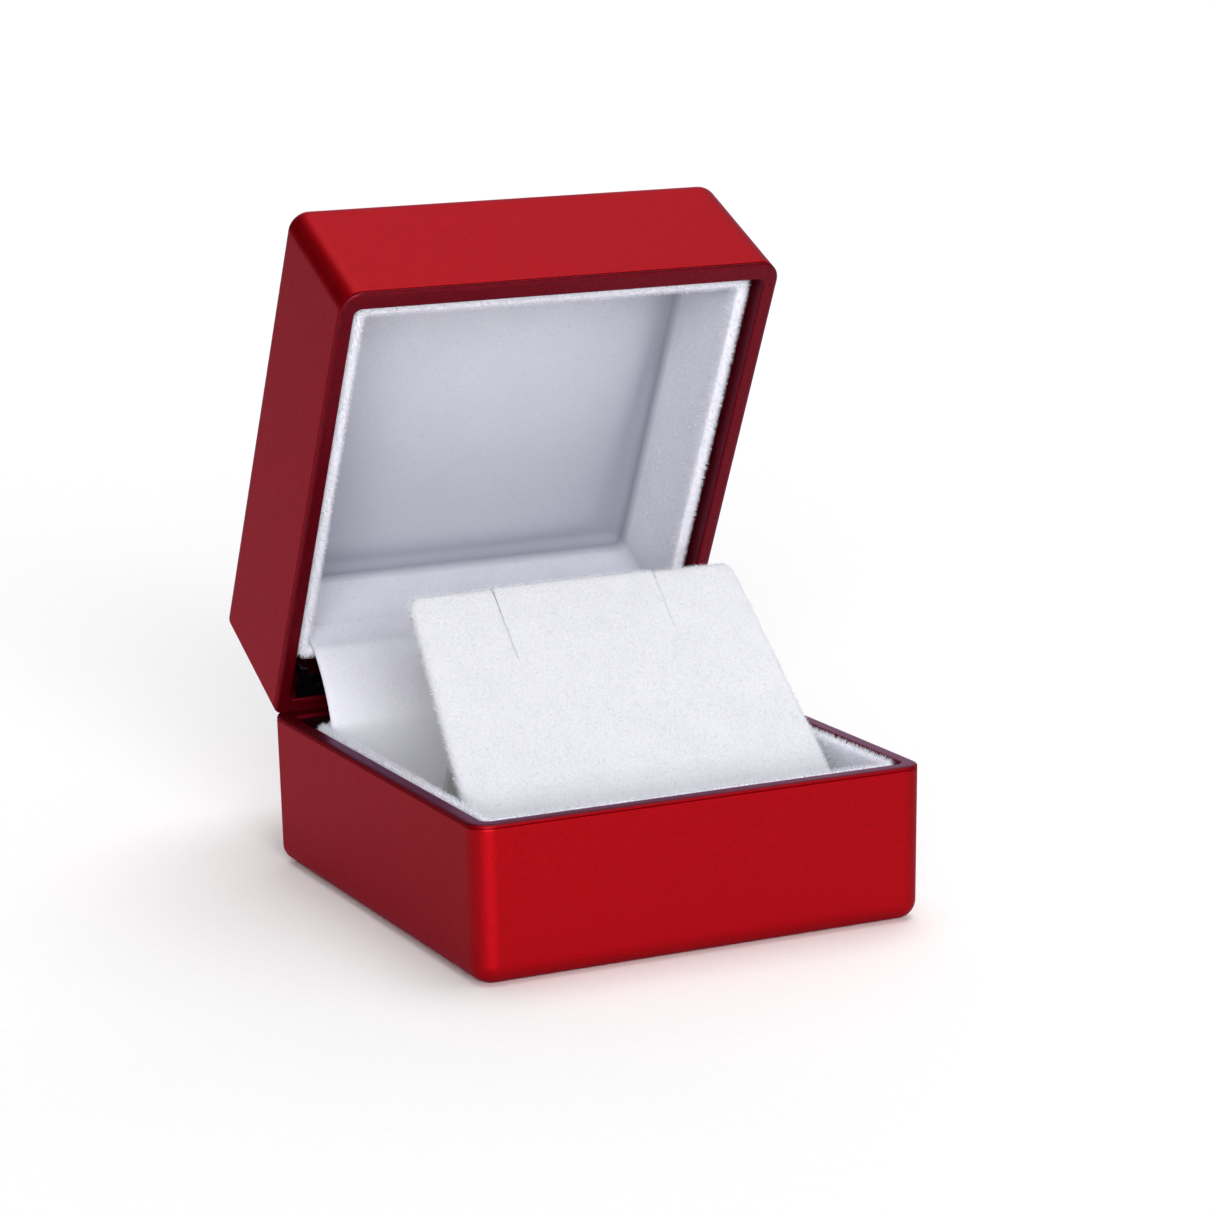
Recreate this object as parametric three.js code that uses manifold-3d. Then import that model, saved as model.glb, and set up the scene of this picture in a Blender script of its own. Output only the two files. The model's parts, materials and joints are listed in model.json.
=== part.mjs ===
// Hinged gift box for a ring or a pendant: two lacquered shells, flocked liners and a tilting velvet pad.
// Millimetres, +Z up. The origin is the middle of the face the base stands on, +Y points to the hinge.
// The lid is drawn closed and then turned open about the hinge pin.
import * as THREE from 'three';
import { mergeVertices } from 'three/addons/utils/BufferGeometryUtils.js';
import Module from 'manifold-3d';

const wasm = await Module();
wasm.setup();

// Shells
const boxWidth = 70;
const boxDepth = 75.5;
const baseHeight = 22.85;
const lidHeight = 24.4;
const partingGap = 0.3;
const wall = 1.3;
const floorThickness = 1.6;
const draft = 0.011;
const cornerRadius = 3.2;
const edgeRadius = 2.7;

// Rim frames that close the shells' open edges
const flangeHeight = 0.5;
const flangeEdge = 0.4;
const rimWidth = 2.3;
const lidFrontRimWidth = 2.8;
const tongueDepth = 3;
const seat = 0.3;
const rimCorner = 1.2;
const tongueCorner = 1.6;

// Liners
const linerWall = 1.4;
const baseLinerHalfWidth = 32.1;
const baseLinerTop = 22.6;
const lidLinerHalfWidth = 31.7;
const lidLinerRecess = 2.2;
const linerRear = 28.8;
const linerCorner = 2.4;
const linerLipRound = 0.6;
const basePocketCorner = 2.2;
const basePocketEdge = 1;
const lidPocketCorner = 3;
const lidPocketEdge = 2.2;
const lidLinerExtraWall = 0.3;
const baseLinerFrontGap = 0.55;
const lidLinerFrontGap = 1;
const flapThickness = 0.8;
const flapHalfWidth = 30;
const flapTuck = 0.7;

// Hinge
const openAngle = 63.3;
const hingeY = boxDepth / 2 - 0.15;
const hingeZ = 22.8;
const knuckleRadius = 1.1;
const pinRadius = 0.6;
const boreRadius = 0.7;
const leafThickness = 0.6;
const leafInnerY = 31.2;
const leafHalfWidth = 31.6;
const hingeHalfLength = 23;
const knuckleGap = 0.4;
const knuckleRoom = 0.4;
const notchEndRoom = 1;
const earWidth = 1.1;
const earThickness = 0.5;
const earReach = 1.4;
const earOverlap = 0.6;
const earHeight = 1.2;
const middleKnuckle = 4.5;
const outerKnuckle = 14;
const rivetY = 33;
const baseRivetX = 18;
const lidRivetX = 9.25;
const rivetHeadRadius = 1.7;
const springHalfWidth = 2.2;
const springThickness = 0.3;
const rivetShankRadius = 0.8;
const rivetPostRadius = 2.1;
const rivetPostLength = 14;
const rivetWebHalf = 0.8;
const rivetShank = 5;
const rivetHeadHeight = 0.45;
const pinHeadRadius = 0.95;
const pinHeadLength = 0.4;
const springEndGap = 0.4;

// Pad that stands in the base
const padAngle = 45.6;
const padTopY = 4.5;
const padTopZ = 46.3;
const padLength = 53.2;
const padThickness = 4;
const padTopHalfWidth = 26.2;
const padBottomHalfWidth = 28.9;
const padShoulder = 18;
const padCorner = 1.6;
const coverThickness = 0.8;
const boardThickness = 1.1;
const slitSpacing = 26;
const slitWidth = 0.7;
const slitDepth = 11;
const insertThickness = 1.2;
const insertHalfWidth = 30;
const insertFront = -29.2;
const insertRear = 26.6;
const insertCorner = 1.5;
const strutWidth = 36;
const strutThickness = 1.2;
const strutLength = 34.2;
const strutLean = 26.5;
const strutHingeAlong = 44;

const arcSteps = 3;
const bevelSteps = 3;
const rad = THREE.MathUtils.degToRad;
const lidPlane = baseHeight + partingGap;
const lidTop = lidPlane + lidHeight;

const lacquer = { color: 0xb0101f, roughness: 0.25, metalness: 0.35 };
const velvet = { color: 0xf2f2f5, roughness: 0.95, metalness: 0 };
const steel = { color: 0x39393c, roughness: 0.4, metalness: 1 };
const card = { color: 0xeceae4, roughness: 0.9, metalness: 0 };
const foam = { color: 0xe8e6de, roughness: 0.95, metalness: 0 };

function ordered(a, b) {
  return [Math.min(a, b), Math.max(a, b)];
}

function toSolid(geometry) {
  const bare = geometry.clone();
  bare.deleteAttribute('normal');
  bare.deleteAttribute('uv');
  const merged = mergeVertices(bare, 1e-5);
  return new wasm.Manifold(new wasm.Mesh({
    numProp: 3,
    vertProperties: Float32Array.from(merged.attributes.position.array),
    triVerts: Uint32Array.from(merged.index.array),
  }));
}

function toGeometry(solid) {
  const mesh = solid.getMesh();
  const indexed = new THREE.BufferGeometry();
  indexed.setAttribute('position', new THREE.BufferAttribute(mesh.vertProperties, 3));
  indexed.setIndex(new THREE.BufferAttribute(mesh.triVerts, 1));
  const geometry = indexed.toNonIndexed();
  geometry.computeVertexNormals();
  return geometry;
}

function meshOf(name, solid, look) {
  const mesh = new THREE.Mesh(toGeometry(solid), new THREE.MeshStandardMaterial(look));
  mesh.name = name;
  return mesh;
}

// A rectangle with round corners between the given sides.
function roundedRectangle(x0, x1, y0, y1, radius) {
  const shape = new THREE.Shape();
  shape.moveTo(x0 + radius, y0);
  shape.lineTo(x1 - radius, y0);
  shape.absarc(x1 - radius, y0 + radius, radius, -Math.PI / 2, 0);
  shape.lineTo(x1, y1 - radius);
  shape.absarc(x1 - radius, y1 - radius, radius, 0, Math.PI / 2);
  shape.lineTo(x0 + radius, y1);
  shape.absarc(x0 + radius, y1 - radius, radius, Math.PI / 2, Math.PI);
  shape.lineTo(x0, y0 + radius);
  shape.absarc(x0 + radius, y0 + radius, radius, Math.PI, Math.PI * 1.5);
  return shape;
}

function prism(shape, z0, z1) {
  const geometry = new THREE.ExtrudeGeometry(shape, {
    depth: z1 - z0,
    bevelEnabled: false,
    curveSegments: arcSteps,
  });
  geometry.translate(0, 0, z0);
  return geometry;
}

function block(x0, x1, y0, y1, z0, z1) {
  const geometry = new THREE.BoxGeometry(x1 - x0, y1 - y0, z1 - z0);
  geometry.translate((x0 + x1) / 2, (y0 + y1) / 2, (z0 + z1) / 2);
  return toSolid(geometry);
}

// A block with round upright corners and round edges at both ends.
function softBlock(x0, x1, y0, y1, z0, z1, corner, edge) {
  const shape = roundedRectangle(x0 + edge, x1 - edge, y0 + edge, y1 - edge, corner - edge);
  const geometry = new THREE.ExtrudeGeometry(shape, {
    depth: z1 - z0 - 2 * edge,
    bevelThickness: edge,
    bevelSize: edge,
    bevelSegments: bevelSteps,
    curveSegments: arcSteps,
  });
  geometry.translate(0, 0, z0 + edge);
  return geometry;
}

// Moulded walls lean in by the draft as they leave the rim plane.
function withDraft(geometry, rimZ) {
  const position = geometry.attributes.position;
  for (let i = 0; i < position.count; i += 1) {
    const lean = draft * Math.abs(position.getZ(i) - rimZ);
    position.setX(i, position.getX(i) * (1 - (2 * lean) / boxWidth));
    position.setY(i, position.getY(i) * (1 - (2 * lean) / boxDepth));
  }
  return geometry;
}

function cylinderAlongX(radius, x0, x1, y, z) {
  const geometry = new THREE.CylinderGeometry(radius, radius, x1 - x0, 24);
  geometry.rotateZ(Math.PI / 2);
  geometry.translate((x0 + x1) / 2, y, z);
  return toSolid(geometry);
}

function post(radius, x, y, z0, z1) {
  const geometry = new THREE.CylinderGeometry(radius, radius, z1 - z0, 20);
  geometry.rotateX(Math.PI / 2);
  geometry.translate(x, y, (z0 + z1) / 2);
  return toSolid(geometry);
}

// A profile of (y, z) points swept along X.
function sweptAlongX(points, x0, x1) {
  const shape = new THREE.Shape(points.map(([y, z]) => new THREE.Vector2(y, z)));
  const geometry = new THREE.ExtrudeGeometry(shape, { depth: x1 - x0, bevelEnabled: false });
  geometry.rotateX(Math.PI / 2);
  geometry.rotateZ(Math.PI / 2);
  geometry.translate(x0, 0, 0);
  return toSolid(geometry);
}

// Cuts the back of a shell or rim for the knuckles, and deeper in the base where the springs lie.
function withHingeNotch(solid, isLid) {
  const inward = isLid ? 1 : -1;
  const halfDepth = boxDepth / 2;
  const y0 = halfDepth - rimWidth - 1;
  const y1 = halfDepth + 1;
  const floor = hingeZ + inward * (knuckleRadius + knuckleRoom);
  const beyond = hingeZ - inward * 6;
  const notchHalf = hingeHalfLength + notchEndRoom;
  let cut = solid.subtract(block(-notchHalf, notchHalf, y0, y1, ...ordered(floor, beyond)));
  if (!isLid) {
    const pocket = hingeZ - knuckleRadius - seat - springThickness - knuckleRoom;
    const pocketHalf = springHalfWidth + knuckleRoom;
    for (const side of [-1, 1]) {
      const x = side * lidRivetX;
      cut = cut.subtract(block(x - pocketHalf, x + pocketHalf, y0, y1, pocket, beyond));
    }
  }
  return cut;
}

// The base's shape for the base, and its mirror image above the parting gap for the lid.
function shell(isLid) {
  const halfWidth = boxWidth / 2;
  const halfDepth = boxDepth / 2;
  const outerEnd = isLid ? lidTop : 0;
  const rimZ = isLid ? lidPlane : baseHeight;
  const inward = isLid ? 1 : -1;
  const wallEnd = rimZ + inward * (flangeHeight + seat);
  const beyond = rimZ - inward * 5;
  const outer = softBlock(
    -halfWidth, halfWidth, -halfDepth, halfDepth, ...ordered(outerEnd, beyond), cornerRadius, edgeRadius);
  const innerEnd = outerEnd - inward * floorThickness;
  const inner = softBlock(
    -halfWidth + wall, halfWidth - wall, -halfDepth + wall, halfDepth - wall,
    ...ordered(innerEnd, beyond), cornerRadius - wall + 0.1, edgeRadius - wall);
  let solid = toSolid(withDraft(outer, rimZ)).subtract(toSolid(withDraft(inner, rimZ)));
  solid = solid.subtract(block(
    -halfWidth - 1, halfWidth + 1, -halfDepth - 1, halfDepth + 1, ...ordered(wallEnd, beyond - inward * 2)));

  // Posts for the hinge rivets, each tied to the back wall by a web below the rim's tongue
  const rivetX = isLid ? lidRivetX : baseRivetX;
  const leafFace = hingeZ + inward * (knuckleRadius + seat);
  const postEnd = rimZ + inward * rivetPostLength;
  const webStart = rimZ + inward * (flangeHeight + tongueDepth + seat);
  const webEndY = halfDepth - wall / 2 - 0.2;
  const holeEnd = leafFace + inward * (rivetShank + 1);
  for (const side of [-1, 1]) {
    const x = side * rivetX;
    const web = block(x - rivetWebHalf, x + rivetWebHalf, rivetY, webEndY, ...ordered(webStart, postEnd));
    const hole = post(rivetShankRadius + seat, x, rivetY, ...ordered(leafFace - inward, holeEnd));
    solid = solid.add(post(rivetPostRadius, x, rivetY, ...ordered(leafFace, postEnd)));
    solid = solid.add(web).subtract(hole);
  }

  return withHingeNotch(solid, isLid);
}

function rimFrame(isLid) {
  const halfWidth = boxWidth / 2;
  const halfDepth = boxDepth / 2;
  const rimZ = isLid ? lidPlane : baseHeight;
  const inward = isLid ? 1 : -1;
  const frontWidth = isLid ? lidFrontRimWidth : rimWidth;
  const flangeEnd = rimZ + inward * flangeHeight;
  const tongueEnd = flangeEnd + inward * tongueDepth;
  const tongueInset = wall + seat + 0.05;
  const tongueHalfWidth = halfWidth - tongueInset;
  const tongueHalfDepth = halfDepth - tongueInset;
  const flange = toSolid(softBlock(
    -halfWidth, halfWidth, -halfDepth, halfDepth,
    ...ordered(rimZ, rimZ + inward * 3), cornerRadius, flangeEdge));
  const above = block(
    -halfWidth - 1, halfWidth + 1, -halfDepth - 1, halfDepth + 1, ...ordered(flangeEnd, rimZ + inward * 4));
  const tongue = toSolid(prism(
    roundedRectangle(-tongueHalfWidth, tongueHalfWidth, -tongueHalfDepth, tongueHalfDepth, tongueCorner),
    ...ordered(rimZ + inward * 0.2, tongueEnd)));
  const opening = toSolid(prism(
    roundedRectangle(
      -halfWidth + rimWidth, halfWidth - rimWidth, -halfDepth + frontWidth, halfDepth - rimWidth, rimCorner),
    ...ordered(rimZ - inward, tongueEnd + inward)));
  return withHingeNotch(flange.subtract(above).add(tongue).subtract(opening), isLid);
}

function baseLiner() {
  const floorZ = floorThickness + seat;
  const front = -boxDepth / 2 + rimWidth + baseLinerFrontGap;
  const half = baseLinerHalfWidth;
  const pocketHalf = half - linerWall;
  const outer = toSolid(softBlock(
    -half, half, front, linerRear, floorZ, baseLinerTop, linerCorner, linerLipRound));
  const pocket = toSolid(softBlock(
    -pocketHalf, pocketHalf, front + linerWall, linerRear - linerWall,
    floorZ + linerWall, baseLinerTop + 4, basePocketCorner, basePocketEdge));
  return outer.subtract(pocket);
}

function lidLiner() {
  const ceiling = lidTop - floorThickness - seat;
  const lip = lidPlane + lidLinerRecess;
  const front = -boxDepth / 2 + lidFrontRimWidth + lidLinerFrontGap;
  const half = lidLinerHalfWidth;
  const pocketHalf = half - linerWall - lidLinerExtraWall;
  const outer = toSolid(softBlock(
    -half, half, front, linerRear, lip, ceiling, linerCorner, linerLipRound));
  const pocket = toSolid(softBlock(
    -pocketHalf, pocketHalf, front + linerWall, linerRear - linerWall,
    lip - 4, ceiling - linerWall, lidPocketCorner, lidPocketEdge));
  return outer.subtract(pocket);
}

// One hinge leaf: a plate with a wide inner part, turned ears at its ends, and its share of the knuckles.
function hingeLeaf(isLid) {
  const inward = isLid ? 1 : -1;
  const far = hingeZ + inward * knuckleRadius;
  const near = far - inward * leafThickness;
  const lidStart = middleKnuckle + knuckleGap;
  const lidEnd = outerKnuckle - knuckleGap;
  const knuckles = isLid
    ? [[-lidEnd, -lidStart], [lidStart, lidEnd]]
    : [[-hingeHalfLength, -outerKnuckle], [-middleKnuckle, middleKnuckle], [outerKnuckle, hingeHalfLength]];
  const plateOuterY = hingeY - knuckleRadius - knuckleRoom;
  const rimInnerY = boxDepth / 2 - rimWidth - seat;
  let solid = block(-leafHalfWidth, leafHalfWidth, leafInnerY, rimInnerY, ...ordered(near, far));
  solid = solid.add(block(-hingeHalfLength, hingeHalfLength, leafInnerY, plateOuterY, ...ordered(near, far)));
  for (const side of [-1, 1]) {
    const tip = side * leafHalfWidth;
    const earX = ordered(tip, tip - side * earWidth);
    const turnedX = ordered(tip, tip - side * earThickness);
    const ear = block(...earX, leafInnerY - earReach, leafInnerY + earOverlap, ...ordered(near, far));
    const turned = block(
      ...turnedX, leafInnerY - earReach, leafInnerY + 0.2, ...ordered(near, far + inward * earHeight));
    solid = solid.add(ear).add(turned);
  }
  for (const [x0, x1] of knuckles) {
    solid = solid.add(cylinderAlongX(knuckleRadius, x0, x1, hingeY, hingeZ));
    solid = solid.add(block(x0, x1, plateOuterY - 0.2, hingeY, ...ordered(near, far)));
  }
  const boreEnd = hingeHalfLength + 1;
  solid = solid.subtract(cylinderAlongX(boreRadius, -boreEnd, boreEnd, hingeY, hingeZ));
  const rivetX = isLid ? lidRivetX : baseRivetX;
  for (const side of [-1, 1]) {
    solid = solid.subtract(post(
      rivetShankRadius + seat, side * rivetX, rivetY, ...ordered(near - inward, far + inward)));
  }
  return solid;
}

function hingePin() {
  const end = hingeHalfLength + seat + pinHeadLength;
  let solid = cylinderAlongX(pinRadius, -end, end, hingeY, hingeZ);
  for (const side of [-1, 1]) {
    const x0 = side > 0 ? end - pinHeadLength : -end;
    solid = solid.add(cylinderAlongX(pinHeadRadius, x0, x0 + pinHeadLength, hingeY, hingeZ));
  }
  return solid;
}

// A domed rivet whose head faces the parting gap.
function rivet(x, isLid) {
  const inward = isLid ? 1 : -1;
  const headUnder = hingeZ + inward * (knuckleRadius - leafThickness - seat);
  const profile = [
    [0, rivetHeadHeight], [0.7, 0.41], [1.3, 0.27], [rivetHeadRadius, 0],
    [rivetShankRadius, 0], [rivetShankRadius, -rivetShank], [0, -rivetShank],
  ].reverse();
  const geometry = new THREE.LatheGeometry(profile.map(([r, h]) => new THREE.Vector2(r, h)), 20);
  geometry.rotateX(isLid ? -Math.PI / 2 : Math.PI / 2);
  geometry.translate(x, rivetY, headUnder);
  return toSolid(geometry);
}

// A flat spring that lies under the base leaf and reaches below a lid knuckle to hold it by friction.
function hingeSpring(x) {
  const top = hingeZ - knuckleRadius - seat;
  return block(
    x - springHalfWidth, x + springHalfWidth, leafInnerY + springEndGap, hingeY - springEndGap,
    top - springThickness, top);
}

// Fabric strip that covers the hinge between the two liners, drawn as it hangs with the lid open.
function hingeFlap() {
  const lidPoint = (y, z) => {
    const dy = y - hingeY;
    const dz = z - hingeZ;
    const a = rad(openAngle);
    return [hingeY + dy * Math.cos(a) + dz * Math.sin(a), hingeZ - dy * Math.sin(a) + dz * Math.cos(a)];
  };
  const tuckY = linerRear + flapTuck;
  const middle = [
    new THREE.Vector2(tuckY, 19.6),
    new THREE.Vector2(tuckY, 22.4),
    new THREE.Vector2(...lidPoint(tuckY, lidPlane + lidLinerRecess - 0.2)),
    new THREE.Vector2(...lidPoint(tuckY, lidPlane + lidLinerRecess + 2.6)),
  ];
  const left = [];
  const right = [];
  middle.forEach((point, i) => {
    const before = middle[Math.max(i - 1, 0)];
    const after = middle[Math.min(i + 1, middle.length - 1)];
    const along = after.clone().sub(before).normalize();
    const side = new THREE.Vector2(-along.y, along.x).multiplyScalar(flapThickness / 2);
    left.push(point.clone().add(side).toArray());
    right.push(point.clone().sub(side).toArray());
  });
  return sweptAlongX([...right, ...left.reverse()], -flapHalfWidth, flapHalfWidth);
}

// The pad's outline, drawn flat with its lower edge on the X axis and set in from its true edge by inset.
function padOutline(inset) {
  const low = padBottomHalfWidth - inset;
  const high = padTopHalfWidth - inset;
  const top = padLength - inset;
  const round = Math.max(padCorner - inset, 0.6);
  const shape = new THREE.Shape();
  shape.moveTo(-low, inset);
  shape.lineTo(low, inset);
  shape.lineTo(low - 0.2, padShoulder);
  shape.lineTo(high, top - round);
  shape.absarc(high - round, top - round, round, 0, Math.PI / 2);
  shape.lineTo(-high + round, top);
  shape.absarc(-high + round, top - round, round, Math.PI / 2, Math.PI);
  shape.lineTo(-low + 0.2, padShoulder);
  return shape;
}

function padLayer(inset, z0, z1) {
  return toSolid(prism(padOutline(inset), z0, z1));
}

function withSlits(solid) {
  let cut = solid;
  for (const side of [-1, 1]) {
    const x = (side * slitSpacing) / 2;
    cut = cut.subtract(block(
      x - slitWidth / 2, x + slitWidth / 2, padLength - slitDepth, padLength + 1, -1, padThickness + 1));
  }
  return cut;
}

function padCover() {
  const pocket = padLayer(coverThickness, -1, padThickness - coverThickness);
  return withSlits(padLayer(0, 0, padThickness).subtract(pocket));
}

function padBoard() {
  return withSlits(padLayer(coverThickness + seat, 0, boardThickness));
}

function padFoam() {
  const top = padThickness - coverThickness - seat;
  return withSlits(padLayer(coverThickness + seat, boardThickness + seat, top));
}

function insertFloor() {
  const z0 = floorThickness + seat + linerWall + seat;
  const outline = roundedRectangle(-insertHalfWidth, insertHalfWidth, insertFront, insertRear, insertCorner);
  return toSolid(prism(outline, z0, z0 + insertThickness));
}

function strut() {
  return block(-strutWidth / 2, strutWidth / 2, 0, strutLength, -strutThickness / 2, strutThickness / 2);
}

const box = new THREE.Group();
box.add(meshOf('base_shell', shell(false), lacquer));
box.add(meshOf('base_rim_frame', rimFrame(false), lacquer));
box.add(meshOf('base_liner', baseLiner(), velvet));
box.add(meshOf('insert_floor_card', insertFloor(), velvet));
box.add(meshOf('hinge_flap', hingeFlap(), velvet));
box.add(meshOf('hinge_leaf_base', hingeLeaf(false), steel));
box.add(meshOf('hinge_pin', hingePin(), steel));
for (const [side, sign] of [['left', -1], ['right', 1]]) {
  box.add(meshOf(`rivet_base_${side}`, rivet(sign * baseRivetX, false), steel));
  box.add(meshOf(`hinge_spring_${side}`, hingeSpring(sign * lidRivetX), steel));
}

const lid = new THREE.Group();
lid.position.set(0, hingeY, hingeZ);
lid.rotation.x = -rad(openAngle);
const lidParts = [
  ['lid_shell', shell(true), lacquer],
  ['lid_rim_frame', rimFrame(true), lacquer],
  ['lid_liner', lidLiner(), velvet],
  ['hinge_leaf_lid', hingeLeaf(true), steel],
  ['rivet_lid_left', rivet(-lidRivetX, true), steel],
  ['rivet_lid_right', rivet(lidRivetX, true), steel],
];
for (const [name, solid, look] of lidParts) {
  const mesh = meshOf(name, solid, look);
  mesh.position.set(0, -hingeY, -hingeZ);
  lid.add(mesh);
}
box.add(lid);

// The pad turns on its lower back edge, and the strut behind it on a hinge near its top.
const pad = new THREE.Group();
const slope = rad(padAngle);
pad.position.set(
  0,
  padTopY - padLength * Math.cos(slope) + padThickness * Math.sin(slope),
  padTopZ - padLength * Math.sin(slope) - padThickness * Math.cos(slope),
);
pad.rotation.x = slope;
pad.add(meshOf('pad_cover', padCover(), velvet));
pad.add(meshOf('pad_foam', padFoam(), foam));
pad.add(meshOf('pad_board', padBoard(), card));

const strutGroup = new THREE.Group();
strutGroup.position.set(0, strutHingeAlong, -seat - strutThickness / 2);
strutGroup.rotation.x = rad(strutLean - 90) - slope;
strutGroup.add(meshOf('pad_strut', strut(), card));
pad.add(strutGroup);
box.add(pad);

export default box;
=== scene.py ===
import bmesh
import bpy
import json
import math
from mathutils import Matrix, Vector, noise


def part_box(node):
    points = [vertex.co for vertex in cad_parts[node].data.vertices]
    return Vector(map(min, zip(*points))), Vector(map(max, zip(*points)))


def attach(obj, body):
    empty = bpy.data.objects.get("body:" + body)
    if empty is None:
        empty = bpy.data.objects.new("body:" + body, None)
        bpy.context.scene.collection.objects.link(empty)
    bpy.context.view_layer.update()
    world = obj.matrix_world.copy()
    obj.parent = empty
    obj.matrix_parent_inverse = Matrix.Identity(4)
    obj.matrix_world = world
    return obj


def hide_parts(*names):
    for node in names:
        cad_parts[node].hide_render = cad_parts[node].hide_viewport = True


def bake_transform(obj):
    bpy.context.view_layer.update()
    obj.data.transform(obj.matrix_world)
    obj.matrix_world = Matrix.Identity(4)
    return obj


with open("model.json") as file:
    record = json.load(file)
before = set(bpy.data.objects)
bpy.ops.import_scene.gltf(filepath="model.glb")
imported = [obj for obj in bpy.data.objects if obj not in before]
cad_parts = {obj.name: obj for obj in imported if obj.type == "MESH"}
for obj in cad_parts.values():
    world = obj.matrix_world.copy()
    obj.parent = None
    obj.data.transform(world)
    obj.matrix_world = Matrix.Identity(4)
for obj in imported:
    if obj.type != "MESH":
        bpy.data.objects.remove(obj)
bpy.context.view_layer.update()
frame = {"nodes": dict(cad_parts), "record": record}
mm = 0.001
scene = bpy.context.scene
joints = {joint["name"]: joint for joint in frame["record"]["behaviour"]["joints"]}

cameraSettings = {
    "place": (-0.22919, -0.48758, 0.15479),
    "right": (0.90095, -0.43357, -0.01752),
    "up": (0.10392, 0.17639, 0.97882),
    "lens": 111.95,
    "sensor": 36,
    "nearest": 0.02,
    "farthest": 40,
}


def addCamera(settings):
    right = Vector(settings["right"]).normalized()
    up = Vector(settings["up"])
    up = (up - right * up.dot(right)).normalized()
    back = right.cross(up)
    data = bpy.data.cameras.new("productCamera")
    data.lens = settings["lens"]
    data.sensor_width = settings["sensor"]
    data.clip_start = settings["nearest"]
    data.clip_end = settings["farthest"]
    camera = bpy.data.objects.new("productCamera", data)
    scene.collection.objects.link(camera)
    turn = Matrix((right, up, back)).transposed().to_4x4()
    camera.matrix_world = Matrix.Translation(settings["place"]) @ turn
    scene.camera = camera


addCamera(cameraSettings)
print("camera placed")


def linearColour(hexColour):
    # sRGB hex to the linear values that a shader works in
    parts = [int(hexColour[i:i + 2], 16) / 255 for i in (0, 2, 4)]
    linear = [c / 12.92 if c <= 0.04045 else ((c + 0.055) / 1.055) ** 2.4 for c in parts]
    return (*linear, 1.0)


def perMetre(sizeMm):
    # pattern scale for a feature of this many millimetres
    return 1 / (sizeMm * mm)


def addNode(tree, kind, settings=None, links=None):
    node = tree.nodes.new(kind)
    for key, value in (settings or {}).items():
        if isinstance(key, int) or key in node.inputs:
            node.inputs[key].default_value = value
        else:
            setattr(node, key, value)
    for key, source in (links or {}).items():
        tree.links.new(source, node.inputs[key])
    return node


def newMaterial(name):
    # An empty material, with the place on the object that its patterns are drawn from.
    material = bpy.data.materials.new(name)
    material.use_nodes = True
    tree = material.node_tree
    tree.nodes.clear()
    return material, tree, addNode(tree, "ShaderNodeTexCoord").outputs["Object"]


def finishMaterial(tree, settings, links):
    shader = addNode(tree, "ShaderNodeBsdfPrincipled", settings, links)
    addNode(tree, "ShaderNodeOutputMaterial", {}, {"Surface": shader.outputs["BSDF"]})


# Pearl red lacquer sprayed on moulded ABS: deep red under a satin clear coat, with a fine
# sparkle from the pearl and the slight ripple that a sprayed coat dries with. The flakes are
# drawn at 0.3 mm, far coarser than real pearl, so that they show. The rim frames get a
# darker, less metallic copy of the lacquer: painted shade on the rims.
lacquerLook = {
    "flakeSize": 0.3, "flakeFrom": 0.36, "flakeTo": 0.64, "flakeStrength": 0.1, "flakeDepth": 0.03,
    "rippleSize": 1.8, "rippleStrength": 0.12, "rippleDepth": 0.06, "roughnessSpread": 0.04,
    "ior": 1.5, "specular": 0.2, "coat": 0.11, "coatRoughness": 0.3,
}


def makeLacquer(name, deepRed, lightRed, edgeTint, metallic, roughness):
    look = lacquerLook
    material, tree, place = newMaterial(name)
    flake = addNode(tree, "ShaderNodeTexNoise", {
        "Scale": perMetre(look["flakeSize"]), "Detail": 2.0}, {"Vector": place})
    sparkle = addNode(tree, "ShaderNodeMapRange", {
        "From Min": look["flakeFrom"], "From Max": look["flakeTo"]}, {"Value": flake.outputs["Fac"]})
    colour = addNode(tree, "ShaderNodeMix", {
        "data_type": "RGBA", 6: linearColour(deepRed), 7: linearColour(lightRed)},
        {0: sparkle.outputs["Result"]})
    ripple = addNode(tree, "ShaderNodeTexNoise", {
        "Scale": perMetre(look["rippleSize"]), "Detail": 1.0}, {"Vector": place})
    rough = addNode(tree, "ShaderNodeMapRange", {
        "To Min": roughness - look["roughnessSpread"], "To Max": roughness + look["roughnessSpread"]},
        {"Value": ripple.outputs["Fac"]})
    fine = addNode(tree, "ShaderNodeBump", {
        "Strength": look["flakeStrength"], "Distance": look["flakeDepth"] * mm},
        {"Height": flake.outputs["Fac"]})
    bump = addNode(tree, "ShaderNodeBump", {
        "Strength": look["rippleStrength"], "Distance": look["rippleDepth"] * mm},
        {"Height": ripple.outputs["Fac"], "Normal": fine.outputs["Normal"]})
    finishMaterial(tree, {
        "Metallic": metallic, "IOR": look["ior"], "Specular IOR Level": look["specular"],
        "Specular Tint": linearColour(edgeTint), "Coat Weight": look["coat"],
        "Coat Roughness": look["coatRoughness"], "Coat IOR": look["ior"]},
        {"Base Color": colour.outputs[2], "Roughness": rough.outputs["Result"],
         "Normal": bump.outputs["Normal"]})
    return material


# White nylon flock on moulded liners and on the pad's velvet: a short dense pile that
# scatters light softly, with clumps and brushed patches. Clumps are drawn at about 0.35 mm,
# wider than one fibre, so that they show.
flockLook = {
    "patchSize": 6.0, "patchShare": 0.4, "toneFrom": 0.45, "toneTo": 0.92,
    "partingSize": 0.55, "partingFrom": 0.56, "partingTo": 0.74, "partingShare": 0.5,
    # The lip tone is a painted highlight.
    "paintedHighlightTone": "f0f0f6", "bumpStrength": 0.7, "roughness": 0.96, "specular": 0.25,
    "sheen": 0.25, "sheenRoughness": 0.45,
}


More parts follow.
